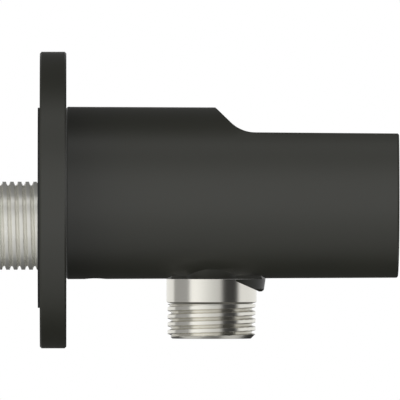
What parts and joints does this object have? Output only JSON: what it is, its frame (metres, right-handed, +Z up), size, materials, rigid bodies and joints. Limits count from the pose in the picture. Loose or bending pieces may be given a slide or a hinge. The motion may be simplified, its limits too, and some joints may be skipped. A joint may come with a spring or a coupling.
{
  "type": "wall outlet elbow",
  "caption": "Matt black wall outlet elbow: a round wall plate, a hollow arm with a stepped top, and a threaded hose outlet with a non-return insert below.",
  "frame": {"origin": "on the inlet thread's axis, in the plane where the gasket meets the wall", "axes": "+X out of the wall along the arm, +Z up, the hose outlet points down"},
  "size_m": [0.098, 0.07, 0.07],
  "materials": {
    "black_coat": "matt black powder coat",
    "bright_plating": "bright nickel plating on brass",
    "raw_brass": "cast and turned",
    "black_rubber": "matt",
    "steel": "stainless",
    "pale_plastic": "moulded"
  },
  "bodies": {
    "fitting": {"wall_plate": "black_coat", "wall_gasket": "black_rubber", "body": "black_coat", "water_elbow": "raw_brass", "inlet_nipple": "bright_plating", "front_o_ring": "black_rubber", "rear_o_ring": "black_rubber", "set_screw": "steel", "outlet_nipple": "bright_plating", "outlet_o_ring": "black_rubber", "valve_housing": "pale_plastic", "valve_o_ring": "black_rubber", "valve_guide": "pale_plastic", "valve_spring": "steel"},
    "poppet": {"valve_poppet": "pale_plastic", "poppet_seal": "black_rubber"}
  },
  "joints": [
    {"name": "valve_lift", "type": "slide", "parent": "fitting", "child": "poppet", "axis": [0, 0, -1], "range_m": [0, 0.002], "stiffness_N_per_m": 60, "springref_m": -0.002, "deforming": ["valve_spring"]}
  ]
}
